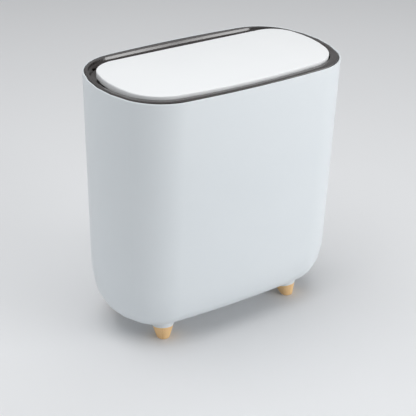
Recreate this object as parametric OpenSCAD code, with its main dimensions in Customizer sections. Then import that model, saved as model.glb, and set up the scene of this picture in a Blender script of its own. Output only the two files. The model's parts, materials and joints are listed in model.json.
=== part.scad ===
// Press-to-open bin: bowed body on four wooden feet, sunk ring, sprung lid and push latch.
// The bin stands on z = 0, its length runs along X and its front faces -Y. All sizes are millimetres.

/* [Body] */
// Length of the body at the rim
body_length = 300; // [285:1:330]
// Depth of the body from front to back at the rim
body_width = 172.7; // [170:0.1:190]
// Height of the body from its flat base to the rim
body_height = 283.1; // [220:0.1:320]
// Radius of the four corners seen from above
corner_radius = 60.3; // [58:0.1:64]
// How far the long sides bow outward
side_bow = 3.4; // [2:0.1:6]
// How far the ends bow outward
end_bow = 4.6; // [3:0.1:7]
// How much each long side leans in from rim to base
side_draft = 9; // [4:0.1:12]
// How much each end leans in from rim to base
end_draft = 2.4; // [1:0.1:6]
// Width of the rounding between wall and base
base_round_width = 23.4; // [16:0.1:26]
// Height of the rounding between wall and base
base_round_height = 51.3; // [35:0.1:60]
// Wall thickness of the body
wall = 1.8; // [1.6:0.1:2.4]
// Thickness of the body's floor
floor_thickness = 2.8; // [2.6:0.1:4]

/* [Feet] */
// Height of the flat base above the surface the bin stands on
base_height = 25.5; // [24:0.5:30]
// Height of the wooden part of a foot
wood_height = 14.5; // [13:0.5:16]
// Distance of a foot from the middle along the length
foot_x = 89.2; // [70:0.1:95]
// Distance of a foot from the middle along the depth
foot_y = 37; // [25:0.1:38]
// Diameter of a foot where the wood meets the white boss
foot_diameter = 24.6; // [22:0.1:26]
// Growth of the foot's radius for each millimetre of height
foot_taper = 0.33; // [0.2:0.01:0.36]
// Lean of each foot outward, in degrees
foot_lean = 12; // [0:1:14]

/* [Ring] */
// Depth of the ring's skirt below the rim
skirt_depth = 15.5; // [12:0.5:20]
// Gap between the ring and the inside of the body
ring_clearance = 0.3; // [0.2:0.05:0.5]
// Height of the ring's flat land above the rim
ring_rise = 0.3; // [0:0.1:0.6]
// Gap between lid and ring at the front and the ends
lid_gap = 1.5; // [1.2:0.1:2.5]
// Gap between lid and ring at the hinge side
rear_gap = 10; // [9.5:0.1:12]

/* [Lid] */
// Inset of the lid from the rim at the ends
lid_end_inset = 14; // [12:0.1:18]
// Inset of the lid from the rim at the front
lid_front_inset = 11.9; // [11:0.1:13]
// Inset of the lid from the rim at the hinge side
lid_rear_inset = 32.2; // [31:0.1:36]
// Radius of the lid's front corners
lid_front_radius = 49; // [42:0.5:52]
// Radius of the lid's rear corners
lid_rear_radius = 33; // [28:0.5:36]
// Height of the lid's top above the rim
lid_rise = 3.7; // [2.8:0.1:4.2]
// Radius of the lid's top edge
lid_edge_radius = 1.6; // [1:0.1:2]
// How far the lid can be pressed down to free the latch, in degrees
lid_press_angle = 1.2; // [0.8:0.1:1.4]

/* [Hinge] */
// Diameter of the hinge rod
rod_diameter = 4.6; // [4:0.1:4.6]
// Running clearance of the rod, all round
rod_clearance = 0.08; // [0.05:0.01:0.1]
// Wire diameter of the torsion springs
torsion_wire = 1.1; // [0.9:0.1:1.1]

/* [Latch] */
// Width of the latch housing
latch_width = 18; // [17:0.5:22]
// Depth of the latch housing from front to back
latch_depth = 14; // [13:0.5:16]
// Height of the latch housing
latch_height = 32; // [30:0.5:36]
// Wire diameter of the latch spring
latch_wire = 0.8; // [0.6:0.1:1]

/* [Hidden] */
$fn = 48;
eps = 0.01;
rim = base_height + body_height;

// Points on one outline: along a corner, a long side and an end
corner_steps = 14;
side_steps = 6;
end_steps = 4;
base_round_steps = 10;

// Colours
white = [0.86, 0.88, 0.9];
lid_white = [0.95, 0.95, 0.96];
ring_grey = [0.27, 0.25, 0.26];
liner_grey = [0.7, 0.71, 0.72];
wood = [0.8, 0.64, 0.43];
steel = [0.72, 0.73, 0.75];
nylon = [0.9, 0.9, 0.86];
rubber = [0.2, 0.2, 0.2];

// Ledge inside the body that carries the ring
ledge_width = 2.8;
ledge_flat = 1.6;
ledge_slope = 4;
rim_flat = 0.2;
rim_round = (wall - rim_flat) / 2;
rim_round_steps = 3;

// How far joined solids run into each other, and how far a cut runs past its surface
bite = 1;

// Foot construction
boss_clip = 2.2;
spigot_diameter = 12;
spigot_height = 6;
socket_clearance = 0.1;
screw_seat = 9;
screw_pocket_depth = 12;
screw_pocket_clearance = 0.3;
screw_tip_gap = 0.5;
foot_screw_diameter = 4;
foot_screw_head = 8;
foot_screw_head_height = 2.4;
foot_screw_length = 19;
foot_lean_heading = 68;
foot_round = 3;
foot_flat_radius = 5.4;

// Ring section
skirt_wall = 1.8;
groove_width = 0.8;
groove_depth = 1;
groove_flank = 0.4;
land_round = 0.1;
land_round_share = 0.06;
edge_drop = 0.3;
collar_depth = 13;
collar_wall = 2;
ring_shell = 2.6;

// The ring is flat at the front and dished towards the hinge: shares of the way from rim to opening
land_share = 0.4;
drop_share = 0.47;
floor_share = 0.75;
drop_depth = 2.7;
floor_depth = 3.6;
lip_depth = 6;
dish_start = -60;
dish_end = 50;

// Lid section
lid_plate = 2;
lid_skirt_wall = 1.8;
lid_skirt_depth = 3.6;
liner_top = -2.4;
liner_thickness = 1.8;
liner_clearance = 0.3;
lid_front_bow = 5.3;
lid_rear_bow = 0.4;
lid_end_bow = 2.9;
edge_steps = 4;
lid_boss_diameter = 7;
lid_screw_diameter = 2.4;
lid_screw_head = 5;
lid_screw_head_height = 1.5;
lid_screw_engagement = 3.4;
screw_clearance = 0.05;

// Lid outline sizes, measured from the middle of the bin
lid_half = body_length / 2 - lid_end_inset;
lid_front = body_width / 2 - lid_front_inset;
lid_rear = body_width / 2 - lid_rear_inset;
lid_screw_x = [100, 88];
lid_screw_y = [18, -38];
lid_middle_screw_y = [30, -46];
lid_screw_places = [
    for (i = [0, 1])
        for (p = [[-lid_screw_x[i], lid_screw_y[i]], [0, lid_middle_screw_y[i]], [lid_screw_x[i], lid_screw_y[i]]]) p
];

// Ribs under the lid's plate
lid_rib_thickness = 1.2;
lid_rib_spacing = 44;
lid_rib_gap = 0.3;
lid_rib_y = [-46, -10, 30];

// Hinge axis
hinge_behind_lid = 4.6;
hinge_below_rim = 6;
hinge_y = lid_rear + hinge_behind_lid;
hinge_z = rim - hinge_below_rim;
barrel_wall = 1.2;
rod_radius = rod_diameter / 2;
barrel_radius = rod_radius + barrel_wall;
bore_radius = rod_radius + rod_clearance;
inner_lug_x = 42;
outer_lug_x = 67;
lug_thickness = 4;
barrel_start = 46;
barrel_length = 10;
arm_reach = 12;
arm_thickness = 3.6;
arm_gap = 0.8;
clip_groove = 0.6;
clip_thickness = 1;
clip_diameter = 7;
clip_gap = 0.3;
clip_x = outer_lug_x + (lug_thickness + clip_thickness) / 2 + clip_gap;
rod_end = 2;
rod_half_length = clip_x + rod_end;

// Torsion springs
torsion_play = 0.4;
torsion_seat_gap = 0.1;
torsion_radius = rod_radius + torsion_play + torsion_wire / 2;
torsion_start = barrel_start + barrel_length + 1;
torsion_turns = 4;
torsion_pitch = 1.6;
torsion_segments = 14;
torsion_reach = 9;

// Latch: the mounting wall hangs from the ring's front collar
latch_wall_y = -(lid_front + lid_gap);
latch_wall_half = 14;
latch_below_rim = 15;
latch_top = rim - latch_below_rim;
latch_floor = 2;
latch_mount_wall = 2.4;
latch_middle = 8;
latch_mid_y = latch_wall_y + latch_middle;
latch_corner = 1.5;
latch_play = 0.3;
latch_ear = 6;
latch_ear_thickness = 3;
latch_screw_diameter = 3;
latch_screw_head = 5.6;
latch_screw_head_height = 1.8;
latch_screw_length = 6.4;
latch_boss_length = 4;
latch_bore_length = 4.9;
latch_screw_x = 5;
plunger_width = 8;
plunger_depth = 6.6;
plunger_length = 12;
plunger_sink = 2;
plunger_top = latch_top - plunger_sink;
plunger_peg = 3;
peg_clearance = 0.4;
track_width = 3.2;
track_depth = 1.4;
track_end = 2;
claw_thickness = 1.1;
claw_nose = 1.3;
claw_depth = 5.6;
claw_clearance = 0.25;
strike_stem = 2.6;
strike_head = 5;
strike_head_height = 2.4;
strike_plate = 1.6;
strike_boss = 1.6;
strike_boss_diameter = 5.3;
strike_width = 22;
strike_depth = 6.4;
strike_screw_x = 7.8;
strike_low = plunger_top + claw_clearance;
claw_height = strike_head_height + 2 * claw_clearance + claw_nose;
latch_spring_radius = 2.7;
latch_spring_turns = 5;
latch_spring_segments = 12;
latch_spring_gap = 0.1;
pin_diameter = 1;
pin_clearance = 0.12;
pin_above_floor = 4;
pin_slot_top = 3;

// Bumpers
bumper_x = 58;
bumper_diameter = 8;
bumper_height = 3;
bumper_inset = 13;
bumper_y = bumper_inset - lid_front;
bumper_clearance = 0.3;
tab_thickness = 3;
tab_width = 12;
tab_root = 0.4;

// Outlines made of tangent arcs

function heading(v) = atan2(v[1], v[0]);

// Angle turned anticlockwise from heading a to heading b
function turn(a, b) = b - a < 0 ? b - a + 360 : b - a;

// Points along an arc about a centre, without its last point
function arc(centre, radius, from, to, steps) =
    let (a = heading(from), sweep = turn(a, heading(to)))
    [for (i = [0 : steps - 1])
        centre + radius * [cos(a + sweep * i / steps), sin(a + sweep * i / steps)]];

// Centre of the large arc that closes round the corner circles at a and b
function arc_centre(a, ra, b, rb, big) =
    let (
        gap = norm(b - a),
        along = (b - a) / gap,
        outward = [along[1], -along[0]],
        p = big - ra,
        q = big - rb,
        run = (gap * gap + p * p - q * q) / (2 * gap)
    )
    a + run * along - sqrt(p * p - run * run) * outward;

// Radius of an arc from half its chord and its bow
function bow_radius(half, bow) = (half * half + bow * bow) / (2 * bow);

// Corner centres and radii of an outline from its overall sizes
function shape(half, front, rear, front_r, rear_r, front_bow, rear_bow, ends_bow) =
    let (
        fc = [half - ends_bow - front_r, front_bow + front_r - front],
        rc = [half - ends_bow - rear_r, rear - rear_bow - rear_r]
    )
    [
        fc, front_r, rc, rear_r,
        bow_radius(fc[0], front_bow) + front_r,
        bow_radius((rc[1] - fc[1]) / 2, ends_bow) + (front_r + rear_r) / 2,
        bow_radius(rc[0], rear_bow) + rear_r
    ];

// Outline of a shape moved inward by a distance, anticlockwise from the front left
function outline(s, inward = 0) =
    let (
        fr = s[0], rf = s[1] - inward, rr = s[2], rb = s[3] - inward,
        big_f = s[4] - inward, big_e = s[5] - inward, big_r = s[6] - inward,
        fl = [-fr[0], fr[1]], rl = [-rr[0], rr[1]],
        cf = arc_centre(fl, rf, fr, rf, big_f),
        ce = arc_centre(fr, rf, rr, rb, big_e),
        cr = arc_centre(rr, rb, rl, rb, big_r),
        cl = [-ce[0], ce[1]]
    )
    concat(
        arc(cf, big_f, fl - cf, fr - cf, side_steps),
        arc(fr, rf, fr - cf, fr - ce, corner_steps),
        arc(ce, big_e, fr - ce, rr - ce, end_steps),
        arc(rr, rb, rr - ce, rr - cr, corner_steps),
        arc(cr, big_r, rr - cr, rl - cr, side_steps),
        arc(rl, rb, rl - cr, rl - cl, corner_steps),
        arc(cl, big_e, rl - cl, fl - cl, end_steps),
        arc(fl, rf, fl - cl, fl - cf, corner_steps)
    );

// Outline part way between two others
function between(a, b, share) = a * (1 - share) + b * share;

// Solids skinned over a list of sections with as many points each

// Outline at one height
function at(points, z) = [for (p = points) [p[0], p[1], z]];

// Outline that sinks smoothly from one height at the front to another at the rear
function dished(points, front_z, rear_z) =
    [for (p = points)
        let (s = min(max((p[1] - dish_start) / (dish_end - dish_start), 0), 1))
        [p[0], p[1], front_z + (rear_z - front_z) * s * s * (3 - 2 * s)]];

function skin_points(sections) = [for (s = sections) for (p = s) p];

function skin_walls(sections, closed) =
    let (n = len(sections[0]), m = len(sections), last = closed ? m - 1 : m - 2)
    [for (i = [0 : last]) for (j = [0 : n - 1])
        let (k = (j + 1) % n, up = ((i + 1) % m) * n, low = i * n)
        for (f = [[low + j, up + j, up + k], [low + j, up + k, low + k]]) f];

// Closed body whose first and last sections are capped
module skin(sections) {
    n = len(sections[0]);
    m = len(sections);
    caps = [[for (j = [0 : n - 1]) j], [for (j = [n - 1 : -1 : 0]) (m - 1) * n + j]];
    polyhedron(points = skin_points(sections), faces = concat(skin_walls(sections, false), caps));
}

// Ring-shaped body whose last section meets its first
module skin_ring(sections) {
    polyhedron(points = skin_points(sections), faces = skin_walls(sections, true));
}

// Wire swept along a list of points; its cross-sections are set out from one reference axis

function unit(v) = v / norm(v);

function wire_frame(points, i, axis) =
    let (
        n = len(points),
        ahead = points[min(i + 1, n - 1)],
        behind = points[max(i - 1, 0)],
        along = unit(ahead - behind),
        side = unit(cross(along, axis))
    )
    [side, cross(along, side)];

module wire(points, diameter, axis, sides = 8) {
    n = len(points);
    rings = [for (i = [0 : n - 1])
        let (f = wire_frame(points, i, axis))
        for (j = [0 : sides - 1])
            points[i] + diameter / 2 * (cos(360 * j / sides) * f[0] + sin(360 * j / sides) * f[1])];
    walls = [for (i = [0 : n - 2]) for (j = [0 : sides - 1])
        let (k = (j + 1) % sides, low = i * sides, up = low + sides)
        for (f = [[low + j, up + k, up + j], [low + j, low + k, up + k]]) f];
    caps = [[for (j = [sides - 1 : -1 : 0]) j], [for (j = [0 : sides - 1]) (n - 1) * sides + j]];
    polyhedron(points = rings, faces = concat(walls, caps));
}

// Small repeated shapes

// Cylinder from a point along X, -Y or Z
module rod_x(x, y, z, radius, length) {
    translate([x, y, z])
        rotate([0, 90, 0])
            cylinder(r = radius, h = length);
}

module rod_front(x, y, z, radius, length) {
    translate([x, y, z])
        rotate([90, 0, 0])
            cylinder(r = radius, h = length);
}

// Box given by its lowest corner and its highest
module box(low, high) {
    translate(low)
        cube(high - low);
}

// Screw that points up, with its head under the origin
module screw_up(diameter, head, head_height, length) {
    difference() {
        union() {
            translate([0, 0, -head_height])
                cylinder(d = head, h = head_height);
            cylinder(d = diameter, h = length);
        }
        translate([-head * 0.3, -0.4, -head_height - eps])
            cube([head * 0.6, 0.8, 0.8]);
        translate([-0.4, -head * 0.3, -head_height - eps])
            cube([0.8, head * 0.6, 0.8]);
    }
}

// Body

// Outline sizes of the body at a height above its base, with an extra inset all round
function body_shape(z, extra) =
    let (
        share = (body_height - z) / body_height,
        dx = end_draft * share + extra,
        dy = side_draft * share + extra,
        r = corner_radius - dx
    )
    shape(body_length / 2 - dx, body_width / 2 - dy, body_width / 2 - dy, r, r, side_bow, side_bow, end_bow);

function body_outline(z, inward, extra = 0) = outline(body_shape(z, extra), inward);

// Sections of the rounding at the base, for a surface that starts at a height above the base
function base_round(start, inward) =
    [for (i = [0 : base_round_steps])
        let (
            a = 90 * i / base_round_steps,
            z = start + (base_round_height - start) * (1 - cos(a))
        )
        at(body_outline(z, inward, base_round_width * (1 - sin(a))), base_height + z)];

// The rim is rounded outside and inside
function rim_angle(i) = 90 * i / rim_round_steps;

function rim_inset(i) = rim_round * (1 - cos(rim_angle(i)));

function rim_section(i, inset) =
    let (drop = rim_round * (1 - sin(rim_angle(i))))
    at(body_outline(body_height - drop, inset), rim - drop);

// Inner surface from the rim down to the floor
function inner_sections() =
    let (
        ledge = body_height - skirt_depth,
        under = ledge - ledge_flat,
        round_part = base_round(floor_thickness, wall)
    )
    concat(
        [for (i = [rim_round_steps : -1 : 0])
            rim_section(i, wall - rim_inset(i))],
        [
            at(body_outline(ledge, wall), base_height + ledge),
            at(body_outline(ledge, wall + ledge_width), base_height + ledge),
            at(body_outline(under, wall + ledge_width), base_height + under),
            at(body_outline(under - ledge_slope, wall), base_height + under - ledge_slope)
        ],
        [for (i = [base_round_steps : -1 : 0]) round_part[i]]
    );

function outer_sections() =
    concat(
        base_round(0, 0),
        [for (i = [0 : rim_round_steps])
            rim_section(i, rim_inset(i))]
    );

// Places a child at the junction of boss and wood, its own Z along the leaning foot
module at_foot(x_side, y_side) {
    mirror([x_side < 0 ? 1 : 0, 0, 0])
        mirror([0, y_side > 0 ? 1 : 0, 0])
            translate([foot_x, -foot_y, wood_height])
                rotate([0, 0, -foot_lean_heading])
                    rotate([0, -foot_lean, 0])
                        children();
}

module at_each_foot() {
    for (x_side = [-1, 1])
        for (y_side = [-1, 1])
            at_foot(x_side, y_side)
                children();
}

module foot_boss() {
    length = 2 * (base_height - wood_height);
    cylinder(d1 = foot_diameter, d2 = foot_diameter + 2 * foot_taper * length, h = length);
}

module foot_socket() {
    translate([0, 0, -bite])
        cylinder(d = spigot_diameter + 2 * socket_clearance, h = spigot_height + bite + 2 * socket_clearance);
    cylinder(d = foot_screw_diameter + 2 * screw_clearance, h = screw_seat + bite);
    translate([0, 0, screw_seat])
        cylinder(d = foot_screw_head + 2 * screw_pocket_clearance, h = screw_pocket_depth);
}

module body_shell() {
    color(white)
    difference() {
        union() {
            skin(concat(outer_sections(), inner_sections()));
            intersection() {
                at_each_foot()
                    foot_boss();
                box([-body_length, -body_width, 0], [body_length, body_width, base_height + boss_clip]);
            }
        }
        at_each_foot()
            foot_socket();
    }
}

// Feet

// Volume that trims a foot flat on the surface and rounds its lower edge
module foot_trim() {
    translate([0, 0, foot_round])
        cylinder(d = 2 * foot_diameter, h = 2 * base_height);
    rotate_extrude()
        union() {
            square([foot_flat_radius, foot_round]);
            intersection() {
                translate([foot_flat_radius, foot_round])
                    circle(r = foot_round);
                translate([foot_flat_radius, 0])
                    square([foot_round, foot_round]);
            }
        }
}

module foot(x_side, y_side) {
    reach = wood_height * tan(foot_lean);
    long = 1.3 * wood_height;
    color(wood)
    difference() {
        union() {
            intersection() {
                at_foot(x_side, y_side)
                    translate([0, 0, -long])
                        cylinder(d1 = foot_diameter - 2 * foot_taper * long, d2 = foot_diameter, h = long);
                translate([
                    x_side * (foot_x + reach * cos(foot_lean_heading)),
                    y_side * (foot_y + reach * sin(foot_lean_heading)), 0])
                    foot_trim();
            }
            at_foot(x_side, y_side)
                translate([0, 0, -bite])
                    cylinder(d = spigot_diameter, h = spigot_height + bite);
        }
        at_foot(x_side, y_side)
            translate([0, 0, screw_seat - foot_screw_length - screw_tip_gap])
                cylinder(d = foot_screw_diameter + 2 * screw_clearance, h = 2 * foot_screw_length);
    }
}

module foot_front_left() {
    foot(-1, -1);
}

module foot_front_right() {
    foot(1, -1);
}

module foot_rear_left() {
    foot(-1, 1);
}

module foot_rear_right() {
    foot(1, 1);
}

module foot_screws() {
    color(steel)
    at_each_foot()
        translate([0, 0, screw_seat])
            rotate([180, 0, 0])
                screw_up(foot_screw_diameter, foot_screw_head, foot_screw_head_height, foot_screw_length);
}

// Ring

function lid_shape() =
    shape(lid_half, lid_front, lid_rear, lid_front_radius, lid_rear_radius,
        lid_front_bow, lid_rear_bow, lid_end_bow);

// Opening of the ring round the lid
function opening_shape() =
    shape(lid_half + lid_gap, lid_front + lid_gap, lid_rear + rear_gap,
        lid_front_radius + lid_gap, lid_rear_radius + lid_gap, lid_front_bow, lid_rear_bow, lid_end_bow);

function ring_sections() =
    let (
        play = wall + ring_clearance,
        low = body_height - skirt_depth,
        inside = play + skirt_wall,
        edge = outline(opening_shape()),
        back = outline(opening_shape(), -collar_wall),
        land = body_outline(body_height, play + groove_width + groove_flank),
        under = body_outline(body_height, inside),
        top = rim + ring_rise
    )
    [
        at(body_outline(low, play), rim - skirt_depth),
        at(body_outline(body_height, play), rim - groove_depth),
        at(body_outline(body_height, play + groove_width), rim - groove_depth),
        at(land, top - land_round),
        at(between(land, edge, land_round_share), top),
        at(between(land, edge, land_share), top),
        dished(between(land, edge, drop_share), top, top - drop_depth),
        dished(between(land, edge, floor_share), top, top - floor_depth),
        dished(edge, top - edge_drop, top - lip_depth),
        at(edge, rim - collar_depth),
        at(back, rim - collar_depth),
        dished(back, top - edge_drop - ring_shell, top - lip_depth - ring_shell),
        dished(between(under, back, 0.5), top - ring_shell, top - floor_depth - ring_shell),
        at(under, top - ring_shell),
        at(body_outline(low, inside), rim - skirt_depth)
    ];

// Ear that carries the hinge rod, reaching forward from the collar
module lug(x) {
    wall_y = lid_rear + rear_gap;
    rod_x(x - lug_thickness / 2, hinge_y, hinge_z, barrel_radius, lug_thickness);
    box([x - lug_thickness / 2, hinge_y, hinge_z - barrel_radius],
        [x + lug_thickness / 2, wall_y + collar_wall / 2, hinge_z + bite]);
}

module hinge_mount() {
    for (x_side = [-1, 1])
        for (x = [inner_lug_x, outer_lug_x])
            lug(x_side * x);
}

module latch_mount() {
    bottom = latch_top - latch_height - latch_ear;
    box([-latch_wall_half, latch_wall_y - latch_mount_wall, bottom],
        [latch_wall_half, latch_wall_y, rim - ring_shell]);
    for (z = latch_screw_heights())
        for (x = latch_screw_sides())
            rod_front(x, latch_wall_y - bite, z, latch_screw_diameter, latch_boss_length);
}

function latch_screw_sides() = [-latch_screw_x, latch_screw_x];

function latch_screw_heights() = [latch_top - latch_height - latch_ear / 2];

module bumper_tabs() {
    for (x_side = [-1, 1])
        box([x_side * bumper_x - tab_width / 2, latch_wall_y - tab_root, bumper_base() - tab_thickness],
            [x_side * bumper_x + tab_width / 2, bumper_y + tab_width / 2, bumper_base()]);
}

// Height of the bumpers' seats: the lid stops on them when it is pressed all the way
function bumper_base() =
    rim + liner_top - liner_thickness - bumper_clearance - bumper_height
        - (hinge_y - bumper_y) * tan(lid_press_angle);

module top_ring() {
    color(ring_grey)
    difference() {
        union() {
            skin_ring(ring_sections());
            hinge_mount();
            latch_mount();
            bumper_tabs();
        }
        rod_x(-2 * rod_half_length, hinge_y, hinge_z, bore_radius, 4 * rod_half_length);
        for (z = latch_screw_heights())
            for (x = latch_screw_sides())
                rod_front(x, latch_wall_y + bite, z, latch_screw_diameter / 2 + screw_clearance, latch_bore_length);
    }
}

// Lid

// Crossing ribs that stiffen the plate from below and rest just above the liner
module lid_ribs() {
    low = rim + liner_top + lid_rib_gap;
    high = rim + lid_rise - lid_plate / 2;
    count = floor((lid_half - lid_rear_radius) / lid_rib_spacing);
    intersection() {
        translate([0, 0, low])
            linear_extrude(height = high - low)
                polygon(outline(lid_shape(), lid_skirt_wall / 2));
        union() {
            for (y = lid_rib_y)
                box([-lid_half, y - lid_rib_thickness / 2, low - bite],
                    [lid_half, y + lid_rib_thickness / 2, high + bite]);
            for (i = [-count : count])
                box([i * lid_rib_spacing - lid_rib_thickness / 2, -lid_front, low - bite],
                    [i * lid_rib_spacing + lid_rib_thickness / 2, lid_rear, high + bite]);
        }
    }
}

module lid_cover() {
    top = rim + lid_rise;
    s = lid_shape();
    inner = outline(s, lid_skirt_wall);
    color(lid_white)
    difference() {
        union() {
            skin(concat(
                [
                    at(inner, top - lid_plate),
                    at(inner, rim - lid_skirt_depth),
                    at(outline(s), rim - lid_skirt_depth)
                ],
                [for (i = [0 : edge_steps])
                    let (a = 90 * i / edge_steps)
                    at(outline(s, lid_edge_radius * (1 - cos(a))), top - lid_edge_radius * (1 - sin(a)))]
            ));
            lid_ribs();
            for (p = lid_screw_places)
                translate([p[0], p[1], rim + liner_top])
                    cylinder(d = lid_boss_diameter, h = lid_rise - liner_top - lid_plate / 2);
        }
        for (p = lid_screw_places)
            translate([p[0], p[1], rim + liner_top - bite])
                cylinder(d = lid_screw_diameter + 2 * screw_clearance,
                    h = lid_screw_engagement + screw_tip_gap + bite);
    }
}

// Hinge arm: it leaves the liner's underside and passes below the cover's rear skirt to its barrel
module liner_arm(x_side) {
    start = x_side < 0 ? -barrel_start - barrel_length : barrel_start;
    arm_top = rim - lid_skirt_depth - arm_gap;
    liner_rear = lid_rear - lid_skirt_wall - liner_clearance;
    rod_x(start, hinge_y, hinge_z, barrel_radius, barrel_length);
    box([start, liner_rear - arm_reach, arm_top - arm_thickness], [start + barrel_length, hinge_y, arm_top]);
    box([start, liner_rear - arm_reach, arm_top - bite],
        [start + barrel_length, liner_rear - bite, rim + liner_top - liner_thickness / 2]);
}

module lid_liner() {
    bottom = rim + liner_top - liner_thickness;
    edge = outline(lid_shape(), lid_skirt_wall + liner_clearance);
    color(liner_grey)
    difference() {
        union() {
            translate([0, 0, bottom])
                linear_extrude(height = liner_thickness)
                    polygon(edge);
            for (x_side = [-1, 1]) {
                liner_arm(x_side);
                translate([x_side * strike_screw_x, latch_mid_y, rim + liner_top - liner_thickness / 2])
                    cylinder(d = strike_boss_diameter, h = liner_thickness / 2 + strike_boss);
            }
        }
        rod_x(-2 * rod_half_length, hinge_y, hinge_z, bore_radius, 4 * rod_half_length);
        for (p = lid_screw_places)
            translate([p[0], p[1], bottom - bite])
                cylinder(d = lid_screw_diameter + 2 * screw_clearance, h = liner_thickness + 2 * bite);
        for (x_side = [-1, 1])
            translate([x_side * strike_screw_x, latch_mid_y, bottom - bite])
                cylinder(d = lid_screw_diameter + 2 * screw_clearance,
                    h = liner_thickness + strike_boss + 2 * bite);
    }
}

module lid_screws() {
    color(steel)
    for (p = lid_screw_places)
        translate([p[0], p[1], rim + liner_top - liner_thickness])
            screw_up(lid_screw_diameter, lid_screw_head, lid_screw_head_height,
                liner_thickness + lid_screw_engagement);
}

// Hinge

module hinge_rod() {
    color(steel)
    difference() {
        rod_x(-rod_half_length, hinge_y, hinge_z, rod_radius, 2 * rod_half_length);
        for (x_side = [-1, 1])
            difference() {
                rod_x(x_side * clip_x - clip_thickness / 2, hinge_y, hinge_z, rod_radius + bite, clip_thickness);
                rod_x(x_side * clip_x - clip_thickness, hinge_y, hinge_z, rod_radius - clip_groove,
                    2 * clip_thickness);
            }
    }
}

module rod_clips() {
    slot = rod_radius - clip_groove;
    color(steel)
    for (x_side = [-1, 1])
        difference() {
            rod_x(x_side * clip_x - clip_thickness / 2 + eps, hinge_y, hinge_z,
                clip_diameter / 2, clip_thickness - 2 * eps);
            rod_x(x_side * clip_x - clip_thickness, hinge_y, hinge_z, slot + eps, 2 * clip_thickness);
            box([x_side * clip_x - clip_thickness, hinge_y - slot * 0.8, hinge_z - clip_diameter],
                [x_side * clip_x + clip_thickness, hinge_y + slot * 0.8, hinge_z]);
        }
}

// Coil about the hinge axis: one leg rests on the ring's collar, the other lies under the liner
function torsion_points(x_side) =
    let (
        last = torsion_turns * torsion_segments + torsion_segments / 2,
        r = torsion_radius,
        coil = [for (i = [0 : last])
            let (a = 360 * i / torsion_segments)
            [x_side * (torsion_start + torsion_pitch * i / torsion_segments),
                hinge_y + r * cos(a), hinge_z + r * sin(a)]],
        first = coil[0],
        end = coil[last],
        under_liner = rim + liner_top - liner_thickness - torsion_wire / 2 - torsion_seat_gap,
        at_collar = lid_rear + rear_gap - torsion_wire / 2 - torsion_seat_gap
    )
    concat(
        [[first[0], at_collar, rim - collar_depth + torsion_wire]],
        coil,
        [
            [end[0], end[1] - 1.5, hinge_z - 0.6],
            [end[0], end[1] - 3.2, under_liner - 1],
            [end[0], end[1] - torsion_reach, under_liner]
        ]
    );

module torsion_spring_left() {
    color(steel)
    wire(torsion_points(-1), torsion_wire, [1, 0, 0]);
}

module torsion_spring_right() {
    color(steel)
    wire(torsion_points(1), torsion_wire, [1, 0, 0]);
}

// Latch

module latch_cavity() {
    half = plunger_width / 2 + latch_play;
    deep = plunger_depth / 2 + latch_play;
    box([-half, latch_mid_y - deep, latch_top - latch_height + latch_floor],
        [half, latch_mid_y + deep, latch_top + bite]);
}

// Block whose two edges away from the ring's wall are rounded
module latch_block() {
    half = latch_width / 2;
    front = latch_wall_y + latch_depth;
    low = latch_top - latch_height;
    box([-half, latch_wall_y, low], [half, front - latch_corner, latch_top]);
    box([latch_corner - half, latch_wall_y, low], [half - latch_corner, front, latch_top]);
    for (x_side = [-1, 1])
        translate([x_side * (half - latch_corner), front - latch_corner, low])
            cylinder(r = latch_corner, h = latch_height);
}

module latch_ear_plate() {
    low = latch_top - latch_height;
    box([-latch_width / 2, latch_wall_y, low - latch_ear],
        [latch_width / 2, latch_wall_y + latch_ear_thickness, low + bite]);
}

module latch_housing() {
    slot = pin_diameter / 2 + pin_clearance;
    color(ring_grey)
    difference() {
        union() {
            latch_block();
            latch_ear_plate();
        }
        latch_cavity();
        for (z = latch_screw_heights())
            for (x = latch_screw_sides())
                rod_front(x, latch_wall_y + latch_ear_thickness + bite, z,
                    latch_screw_diameter / 2 + screw_clearance, latch_ear_thickness + 2 * bite);
        box([-slot, latch_mid_y, pin_low() - slot],
            [slot, latch_wall_y + latch_depth + bite, latch_top - pin_slot_top]);
    }
}

module latch_screws() {
    color(steel)
    for (z = latch_screw_heights())
        for (x = latch_screw_sides())
            translate([x, latch_wall_y + latch_ear_thickness, z])
                rotate([90, 0, 0])
                    screw_up(latch_screw_diameter, latch_screw_head, latch_screw_head_height, latch_screw_length);
}

module latch_plunger() {
    half = plunger_width / 2;
    deep = plunger_depth / 2;
    color(nylon)
    difference() {
        union() {
            box([-half, latch_mid_y - deep, plunger_top - plunger_length],
                [half, latch_mid_y + deep, plunger_top]);
            translate([0, latch_mid_y, plunger_top - plunger_length - plunger_peg])
                cylinder(d = 2 * (latch_spring_radius - peg_clearance) - latch_wire, h = plunger_peg + bite);
        }
        box([-track_width / 2, latch_mid_y + deep - track_depth, plunger_top - plunger_length + track_end],
            [track_width / 2, latch_mid_y + deep + bite, plunger_top - track_end]);
    }
}

module claw(x_side) {
    outer = plunger_width / 2;
    root = outer - claw_thickness;
    nose = strike_stem / 2 + claw_clearance;
    mirror([x_side < 0 ? 1 : 0, 0, 0])
        translate([0, latch_mid_y + claw_depth / 2, plunger_top])
            rotate([90, 0, 0])
                linear_extrude(height = claw_depth)
                    polygon([
                        [root, 0], [outer, 0], [outer, claw_height], [nose + 0.6, claw_height],
                        [nose, claw_height - 0.6], [nose, claw_height - claw_nose], [root, claw_height - claw_nose]
                    ]);
}

module latch_claws() {
    color(nylon)
    for (x_side = [-1, 1])
        claw(x_side);
}

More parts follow.
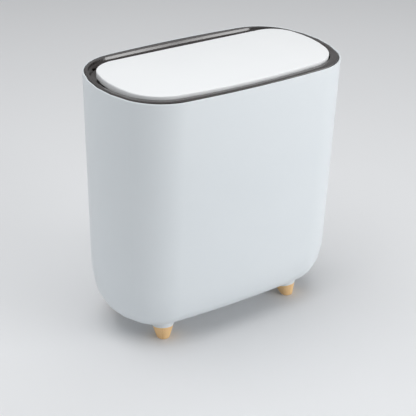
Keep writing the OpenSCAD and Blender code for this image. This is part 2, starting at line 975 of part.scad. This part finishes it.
module latch_spring() {
    low = latch_top - latch_height + latch_floor + latch_wire / 2 + latch_spring_gap;
    high = plunger_top - plunger_length - latch_wire / 2 - latch_spring_gap;
    steps = latch_spring_turns * latch_spring_segments;
    color(steel)
    wire([for (i = [0 : steps])
        [latch_spring_radius * cos(360 * i / latch_spring_segments),
            latch_mid_y + latch_spring_radius * sin(360 * i / latch_spring_segments),
            low + (high - low) * i / steps]], latch_wire, [0, 0, 1]);
}

function pin_low() = latch_top - latch_height + latch_floor + pin_above_floor;

// Bent wire: its lower end turns in the housing, its upper end rides in the plunger's track
module cam_pin() {
    y = latch_wall_y + latch_depth - pin_diameter;
    face = latch_mid_y + plunger_depth / 2;
    high = plunger_top - plunger_length / 2;
    color(steel)
    union() {
        translate([0, y, pin_low()])
            cylinder(d = pin_diameter, h = high - pin_low(), $fn = 24);
        for (z = [pin_low(), high])
            translate([0, y, z])
                sphere(d = pin_diameter, $fn = 24);
        rod_front(0, y, high, pin_diameter / 2, y - face + track_depth - 0.3);
        rod_front(0, y, pin_low(), pin_diameter / 2, y - face - 0.5);
    }
}

module strike() {
    top = rim + liner_top - liner_thickness;
    color(nylon)
    difference() {
        union() {
            box([-strike_width / 2, latch_mid_y - strike_depth / 2, top - strike_plate],
                [strike_width / 2, latch_mid_y + strike_depth / 2, top]);
            box([-strike_stem / 2, latch_mid_y - claw_depth / 2, strike_low],
                [strike_stem / 2, latch_mid_y + claw_depth / 2, top]);
            translate([0, latch_mid_y + claw_depth / 2, strike_low])
                rotate([90, 0, 0])
                    linear_extrude(height = claw_depth)
                        polygon([
                            [-strike_head / 2, strike_head_height], [-strike_stem / 2, 0],
                            [strike_stem / 2, 0], [strike_head / 2, strike_head_height]
                        ]);
        }
        for (x_side = [-1, 1])
            translate([x_side * strike_screw_x, latch_mid_y, top - strike_plate - bite])
                cylinder(d = lid_screw_diameter + 2 * screw_clearance, h = strike_plate + 2 * bite);
    }
}

module strike_screws() {
    color(steel)
    for (x_side = [-1, 1])
        translate([x_side * strike_screw_x, latch_mid_y, rim + liner_top - liner_thickness - strike_plate])
            screw_up(lid_screw_diameter, lid_screw_head, lid_screw_head_height,
                strike_plate + liner_thickness + strike_boss);
}

module lid_bumpers() {
    color(rubber)
    for (x_side = [-1, 1])
        translate([x_side * bumper_x, bumper_y, bumper_base()])
            cylinder(d = bumper_diameter, h = bumper_height);
}

body_shell();
foot_front_left();
foot_front_right();
foot_rear_left();
foot_rear_right();
foot_screws();
top_ring();
lid_cover();
lid_liner();
lid_screws();
hinge_rod();
rod_clips();
torsion_spring_left();
torsion_spring_right();
latch_housing();
latch_screws();
latch_plunger();
latch_claws();
latch_spring();
cam_pin();
strike();
strike_screws();
lid_bumpers();
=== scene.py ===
"""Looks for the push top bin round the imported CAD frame: materials, light, floor and camera."""

import json
import math

import bpy
from mathutils import Matrix, Vector


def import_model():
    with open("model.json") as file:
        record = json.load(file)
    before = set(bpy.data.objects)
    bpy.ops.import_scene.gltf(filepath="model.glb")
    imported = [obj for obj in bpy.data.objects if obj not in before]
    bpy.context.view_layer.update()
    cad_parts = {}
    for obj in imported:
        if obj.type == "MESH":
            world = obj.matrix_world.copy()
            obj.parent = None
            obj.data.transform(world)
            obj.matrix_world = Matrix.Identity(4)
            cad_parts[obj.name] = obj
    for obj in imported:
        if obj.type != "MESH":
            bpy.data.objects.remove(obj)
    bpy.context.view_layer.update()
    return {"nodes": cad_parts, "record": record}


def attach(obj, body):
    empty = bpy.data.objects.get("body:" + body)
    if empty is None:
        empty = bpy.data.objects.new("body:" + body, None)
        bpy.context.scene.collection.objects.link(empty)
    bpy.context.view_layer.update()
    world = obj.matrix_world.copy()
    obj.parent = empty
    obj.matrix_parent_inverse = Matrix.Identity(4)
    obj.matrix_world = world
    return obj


# Camera of the photograph: angles in degrees, places in metres, sensor and lens in millimetres
AZIMUTH = -34.91
ELEVATION = 27.54
ROLL = 1.39
DISTANCE = 1.37932
PIVOT = Vector((0, 0, 0.1755))
SIDE_SHIFT = 0.00401
UP_SHIFT = 0.04405
CLIP_START = 0.01
CLIP_END = 50
SENSOR = 36
LENS = 102.9

# Colours, linear: a surface varies between its colour and the deeper one
BODY = (0.735, 0.775, 0.80, 1)
BODY_DEEP = (0.715, 0.757, 0.785, 1)
LID = (0.86, 0.875, 0.885, 1)
LID_DEEP = (0.84, 0.857, 0.87, 1)
RING = (0.041, 0.034, 0.033, 1)
RING_DEEP = (0.035, 0.029, 0.028, 1)
LINER = (0.50, 0.51, 0.52, 1)
LINER_DEEP = (0.47, 0.48, 0.49, 1)
NYLON = (0.72, 0.72, 0.66, 1)
NYLON_DEEP = (0.68, 0.68, 0.61, 1)
HOUSING = (0.035, 0.033, 0.033, 1)
HOUSING_DEEP = (0.028, 0.027, 0.027, 1)
RUBBER = (0.018, 0.018, 0.018, 1)
RUBBER_DEEP = (0.013, 0.013, 0.013, 1)
BEECH = (0.88, 0.58, 0.28, 1)
BEECH_DEEP = (0.72, 0.42, 0.17, 1)
BEECH_FLECK = (0.56, 0.30, 0.11, 1)
ZINC = (0.62, 0.63, 0.64, 1)
ZINC_DEEP = (0.50, 0.51, 0.53, 1)
FLOOR = (0.80, 0.81, 0.825, 1)
FLOOR_DEEP = tuple(0.985 * channel for channel in FLOOR[:3]) + (1,)

# Height of the grain that the tool leaves on moulded plastic, in metres
GRAIN_HEIGHT = 0.00002

# Scale of a pattern along its grain, against 1 across it: a small one draws the pattern out
STREAK_ALONG = 0.12
FLECK_ALONG = 0.22
DRAWING_ALONG = 0.04

# Most that a fleck of the wood covers the colour under it
FLECK_COVER = 0.55

# Sockets for colours on a mix node, which has others of the same names for numbers and vectors
MIX_A = 6
MIX_B = 7
MIX_RESULT = 2

# Glow of the studio walls: direction axis, where it starts, where it is full, strength
SKY = (("X", 0.0, -1.0, 0.65), ("X", 0.0, 1.0, 0.15), ("Y", 0.0, 1.0, 0.28))
SKY_COLOUR = (0.97, 0.985, 1.0, 1)

# Lamps: name, place, aim, width and height in metres, power in watts
LAMPS = (
    ("overhead", (-0.2, 0.1, 1.9), (0, 0, 0.2), 2.0, 1.8, 28.5),
    ("right", (2.0, -0.9, 0.4), (0, 0, 0.06), 1.4, 0.4, 8),
    ("front", (1.0, -1.9, 0.4), (0, 0, 0.06), 1.8, 0.4, 11),
    ("band", (1.3, -1.85, 1.1), (0, 0, 0.25), 1.4, 0.5, 14),
)

# Side of the square floor, in metres
FLOOR_SIZE = 12

# Gutter under each rear corner of the lid, in millimetres and degrees: it carries the ring's dish on below
# the lid's edge. Each corner is a rounding's centre and radius, and the tops run from the ring to the lid
RING_CORNER = (100.1, 29.25, 34.9)
LID_CORNER = (100.1, 20.75, 31.0)
GUTTER_START = -4
GUTTER_STOP = 90
GUTTER_STEPS = 24
GUTTER_END_X = 82
GUTTER_TOP = (302.5, 302.2, 301.7, 301.2, 300.9, 300.7, 300.5)
GUTTER_THICKNESS = 1.2
MM_PER_METRE = 1000

# Shading of the pieces: points closer than this are joined, edges sharper than this stay crisp
JOIN_DISTANCE = 0.00001
SMOOTH_ANGLE = math.radians(32)


def camera():
    """Camera at the photograph's viewing angle, without lens shift."""
    az, el, roll = map(math.radians, (AZIMUTH, ELEVATION, ROLL))
    back = Vector((math.sin(az) * math.cos(el), -math.cos(az) * math.cos(el), math.sin(el)))
    right = Vector((0, 0, 1)).cross(back).normalized()
    up = back.cross(right)
    x_axis = math.cos(roll) * right + math.sin(roll) * up
    y_axis = math.cos(roll) * up - math.sin(roll) * right
    data = bpy.data.cameras.new("camera")
    data.sensor_width = SENSOR
    data.lens = LENS
    data.clip_start = CLIP_START
    data.clip_end = CLIP_END
    cam = bpy.data.objects.new("camera", data)
    place = Matrix((x_axis, y_axis, back)).transposed().to_4x4()
    place.translation = PIVOT - SIDE_SHIFT * x_axis - UP_SHIFT * y_axis + DISTANCE * back
    cam.matrix_world = place
    bpy.context.scene.collection.objects.link(cam)
    bpy.context.scene.camera = cam


class Graph:
    """One material's node graph, with short calls for its nodes. Lengths are in metres."""

    def __init__(self, name):
        self.material = bpy.data.materials.new(name)
        self.material.use_nodes = True
        self.tree = self.material.node_tree
        self.shader = self.tree.nodes["Principled BSDF"]
        self.place = self.node("ShaderNodeTexCoord").outputs["Object"]

    def node(self, kind, **values):
        """New node of one kind, with its properties set."""
        made = self.tree.nodes.new(kind)
        for key, value in values.items():
            setattr(made, key, value)
        return made

    def join(self, source, target):
        """Links one socket to another."""
        self.tree.links.new(source, target)

    def fill(self, node, **values):
        """Sets sockets of a node by their names, with _ for a space."""
        for key, value in values.items():
            node.inputs[key.replace("_", " ")].default_value = value

    def stretched(self, scale):
        """The object's coordinates, each times its own scale."""
        mapping = self.node("ShaderNodeMapping")
        self.fill(mapping, Scale=scale)
        self.join(self.place, mapping.inputs["Vector"])
        return mapping.outputs["Vector"]

    def noise(self, scale, detail, rough, place=None):
        """Cloudy noise of 0..1, with about scale features to the metre."""
        noise = self.node("ShaderNodeTexNoise")
        self.fill(noise, Scale=scale, Detail=detail, Roughness=rough)
        self.join(place or self.place, noise.inputs["Vector"])
        return noise.outputs["Fac"]

    def ramp(self, source, stops):
        """Colour ramp with stops of (place, colour)."""
        ramp = self.node("ShaderNodeValToRGB")
        points = ramp.color_ramp.elements
        while len(points) < len(stops):
            points.new(0.5)
        for point, (where, colour) in zip(points, stops):
            point.position = where
            point.color = colour
        self.join(source, ramp.inputs["Fac"])
        return ramp.outputs["Color"]

    def spread(self, source, low, high):
        """Maps 0..1 to low..high."""
        spread = self.node("ShaderNodeMapRange")
        self.fill(spread, To_Min=low, To_Max=high)
        self.join(source, spread.inputs["Value"])
        return spread.outputs["Result"]

    def sum(self, a, b, share):
        """a plus share times b."""
        add = self.node("ShaderNodeMath", operation="MULTIPLY_ADD")
        add.inputs[1].default_value = share
        self.join(b, add.inputs[0])
        self.join(a, add.inputs[2])
        return add.outputs["Value"]

    def cover(self, under, over, mask):
        """One colour over another, as far as the mask lets it through."""
        mix = self.node("ShaderNodeMix", data_type="RGBA")
        self.join(mask, mix.inputs["Factor"])
        self.join(under, mix.inputs[MIX_A])
        mix.inputs[MIX_B].default_value = over
        return mix.outputs[MIX_RESULT]

    def colour(self, source):
        """Gives the surface its colour."""
        self.join(source, self.shader.inputs["Base Color"])

    def roughness(self, source, low, high):
        """Gives the surface a roughness of low..high."""
        self.join(self.spread(source, low, high), self.shader.inputs["Roughness"])

    def bump(self, source, height):
        """Bumps of about this height on the surface."""
        bump = self.node("ShaderNodeBump")
        self.fill(bump, Distance=height)
        self.join(source, bump.inputs["Height"])
        self.join(bump.outputs["Normal"], self.shader.inputs["Normal"])

    def set(self, **values):
        """Sets the shader's own sockets."""
        self.fill(self.shader, **values)


def grey(level):
    """Plain grey of one level."""
    return (level, level, level, 1)


def moulded_plastic(name, colour, deep, rough, specular=0.5, grain_scale=1400):
    """Injection moulded plastic: faint flow clouding, a fine grain from the tool and uneven gloss."""
    g = Graph(name)
    clouds = g.noise(scale=7, detail=4, rough=0.55)
    grain = g.noise(scale=grain_scale, detail=2, rough=0.6)
    g.colour(g.ramp(clouds, [(0.3, deep), (0.7, colour)]))
    g.roughness(g.noise(scale=26, detail=5, rough=0.6), low=rough - 0.04, high=rough + 0.05)
    g.bump(grain, height=GRAIN_HEIGHT)
    g.set(Specular_IOR_Level=specular)
    return g.material


def polished_plastic(name, colour, deep):
    """Dark plastic from a polished tool: sharp reflections over very faint waves and dust-fine hazing."""
    g = Graph(name)
    g.colour(g.ramp(g.noise(scale=12, detail=4, rough=0.5), [(0.35, deep), (0.7, colour)]))
    g.roughness(g.noise(scale=60, detail=6, rough=0.65), low=0.13, high=0.22)
    g.bump(g.noise(scale=28, detail=2, rough=0.4), height=0.00006)
    g.set(Specular_IOR_Level=0.6, Coat_Weight=0.6, Coat_Roughness=0.08, Coat_IOR=1.5)
    return g.material


def beech():
    """Pale beech turned along the foot: growth rings, streaks along the grain and short dark flecks."""
    g = Graph("beech")
    along = g.stretched((1, 1, STREAK_ALONG))
    rings = g.node("ShaderNodeTexWave", wave_type="BANDS", bands_direction="X", wave_profile="SAW")
    g.fill(rings, Scale=46, Distortion=5.5, Detail=3, Detail_Scale=1.6)
    g.join(along, rings.inputs["Vector"])
    streaks = g.noise(scale=520, detail=5, rough=0.62, place=along)
    tone = g.sum(g.spread(streaks, low=0, high=0.7), rings.outputs["Fac"], share=0.3)
    flecks = g.noise(scale=1500, detail=2, rough=0.5, place=g.stretched((1, 1, FLECK_ALONG)))
    wood = g.ramp(tone, [(0.15, BEECH_DEEP), (0.42, BEECH), (0.8, BEECH), (1.0, BEECH_DEEP)])
    mask = g.ramp(flecks, [(0.66, grey(0)), (0.76, grey(FLECK_COVER))])
    g.colour(g.cover(wood, BEECH_FLECK, mask))
    g.roughness(streaks, low=0.42, high=0.6)
    g.bump(g.sum(streaks, flecks, share=-0.4), height=0.00004)
    g.set(Coat_Weight=0.12, Coat_Roughness=0.35)
    return g.material


def zinc():
    """Zinc plated steel with fine drawing lines along X and a patchy dull film."""
    g = Graph("zinc_steel")
    film = g.noise(scale=160, detail=5, rough=0.6)
    lines = g.noise(scale=900, detail=3, rough=0.6, place=g.stretched((DRAWING_ALONG, 1, 1)))
    g.colour(g.ramp(film, [(0.3, ZINC_DEEP), (0.7, ZINC)]))
    g.roughness(g.sum(film, lines, share=0.4), low=0.24, high=0.44)
    g.bump(lines, height=0.00001)
    g.set(Metallic=1.0)
    return g.material


def floor_material():
    """Matt paper with very faint clouds and a fine tooth."""
    g = Graph("floor_paper")
    g.colour(g.ramp(g.noise(scale=1.2, detail=3, rough=0.5), [(0.3, FLOOR_DEEP), (0.7, FLOOR)]))
    g.roughness(g.noise(scale=40, detail=3, rough=0.5), low=0.75, high=0.9)
    g.bump(g.noise(scale=700, detail=2, rough=0.5), height=0.00003)
    g.set(Specular_IOR_Level=0.2)
    return g.material


def materials():
    """Material of each slot in the record."""
    return {
        "body_plastic": moulded_plastic("body_plastic", BODY, BODY_DEEP, rough=0.34),
        "lid_plastic": moulded_plastic("lid_plastic", LID, LID_DEEP, rough=0.44, specular=0.35),
        "ring_plastic": polished_plastic("ring_plastic", RING, RING_DEEP),
        "liner_plastic": moulded_plastic("liner_plastic", LINER, LINER_DEEP, rough=0.45),
        "latch_plastic": moulded_plastic("latch_plastic", NYLON, NYLON_DEEP, rough=0.38),
        "housing_plastic": moulded_plastic(
            "housing_plastic", HOUSING, HOUSING_DEEP, rough=0.42, specular=0.4
        ),
        "soft_rubber": moulded_plastic(
            "soft_rubber", RUBBER, RUBBER_DEEP, rough=0.72, specular=0.3, grain_scale=900
        ),
        "beech": beech(),
        "steel": zinc(),
    }


def dress(frame):
    """Gives every CAD node its material and smooth shading, and adds the gutters."""
    slots = materials()
    for part in frame["record"]["subparts"]:
        node = frame["nodes"][part["node"]]
        node.data.materials.clear()
        node.data.materials.append(slots[part["material_slot"]])
        smooth(node)
    gutter("dish_gutter_left", -1, slots["ring_plastic"])
    gutter("dish_gutter_right", 1, slots["ring_plastic"])


def smooth(node):
    """Smooth shading over joined points, with crisp edges kept."""
    for face in node.data.polygons:
        face.use_smooth = True
    weld = node.modifiers.new("join", "WELD")
    weld.merge_threshold = JOIN_DISTANCE
    split = node.modifiers.new("crisp", "EDGE_SPLIT")
    split.split_angle = SMOOTH_ANGLE
    split.use_edge_sharp = False


def gutter_rows():
    """Point at the ring and point at the lid of each row across the gutter, round the corner to the rear."""
    rows = []
    for step in range(GUTTER_STEPS + 1):
        angle = math.radians(GUTTER_START + (GUTTER_STOP - GUTTER_START) * step / GUTTER_STEPS)
        row = []
        for x, y, radius in (RING_CORNER, LID_CORNER):
            row.append((x + radius * math.cos(angle), y + radius * math.sin(angle)))
        rows.append(row)
    rows.append([(GUTTER_END_X, y) for _, y in rows[-1]])
    return rows


def gutter_points(rows, side):
    """Points of the gutter, in metres: in each row first the top, then the underside."""
    points = []
    for outer, inner in rows:
        for drop in (0, GUTTER_THICKNESS):
            for i, top in enumerate(GUTTER_TOP):
                share = i / (len(GUTTER_TOP) - 1)
                x = outer[0] + (inner[0] - outer[0]) * share
                y = outer[1] + (inner[1] - outer[1]) * share
                points.append((side * x / MM_PER_METRE, y / MM_PER_METRE, (top - drop) / MM_PER_METRE))
    return points


def gutter_faces(row_count, side):
    """Both end faces and the skin between the rows, turned outward on either side."""
    count = len(GUTTER_TOP)
    loop = list(range(count)) + list(range(2 * count - 1, count - 1, -1))
    last = (row_count - 1) * 2 * count
    faces = [loop, [k + last for k in reversed(loop)]]
    for row in range(row_count - 1):
        low = row * 2 * count
        high = low + 2 * count
        for a, b in zip(loop, loop[1:] + loop[:1]):
            faces.append([b + low, a + low, a + high, b + high])
    if side < 0:
        faces = [face[::-1] for face in faces]
    return faces


def gutter(name, side, material):
    """Closed strip from the ring's opening to under the lid's edge, round one rear corner."""
    rows = gutter_rows()
    mesh = bpy.data.meshes.new("gutter")
    mesh.from_pydata(gutter_points(rows, side), [], gutter_faces(len(rows), side))
    mesh.materials.append(material)
    piece = bpy.data.objects.new(name, mesh)
    bpy.context.scene.collection.objects.link(piece)
    smooth(piece)
    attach(piece, "ring")


def light(name, place, aim, width, height, power):
    """Rectangular lamp that faces its aim."""
    data = bpy.data.lights.new(name, "AREA")
    data.shape = "RECTANGLE"
    data.size = width
    data.size_y = height
    data.energy = power
    lamp = bpy.data.objects.new(name, data)
    lamp.location = place
    lamp.rotation_mode = "QUATERNION"
    lamp.rotation_quaternion = (Vector(aim) - Vector(place)).to_track_quat("-Z", "Y")
    bpy.context.scene.collection.objects.link(lamp)


def sky():
    """Plain studio walls: bright on the left, dim on the right and behind, dark in front."""
    world = bpy.data.worlds.new("studio")
    world.use_nodes = True
    tree = world.node_tree
    place = tree.nodes.new("ShaderNodeTexCoord")
    split = tree.nodes.new("ShaderNodeSeparateXYZ")
    tree.links.new(place.outputs["Generated"], split.inputs["Vector"])
    total = None
    for axis, start, end, strength in SKY:
        glow = tree.nodes.new("ShaderNodeMapRange")
        glow.interpolation_type = "SMOOTHSTEP"
        for name, value in (("From Min", start), ("From Max", end), ("To Max", strength)):
            glow.inputs[name].default_value = value
        tree.links.new(split.outputs[axis], glow.inputs["Value"])
        if total:
            add = tree.nodes.new("ShaderNodeMath")
            tree.links.new(total, add.inputs[0])
            tree.links.new(glow.outputs["Result"], add.inputs[1])
            total = add.outputs["Value"]
        else:
            total = glow.outputs["Result"]
    tree.links.new(total, tree.nodes["Background"].inputs["Strength"])
    tree.nodes["Background"].inputs["Color"].default_value = SKY_COLOUR
    bpy.context.scene.world = world


def studio():
    """Pale floor, the walls' glow, and lamps: one overhead, two low, one for the ring's bright band."""
    bpy.ops.mesh.primitive_plane_add(size=FLOOR_SIZE, location=(0, 0, 0))
    floor = bpy.context.object
    floor.name = "floor"
    floor.data.materials.append(floor_material())
    sky()
    for lamp in LAMPS:
        light(*lamp)


def main():
    """Builds the scene."""
    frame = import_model()
    camera()
    dress(frame)
    studio()
    bpy.context.scene.view_settings.view_transform = "Standard"
    bpy.context.view_layer.update()


main()
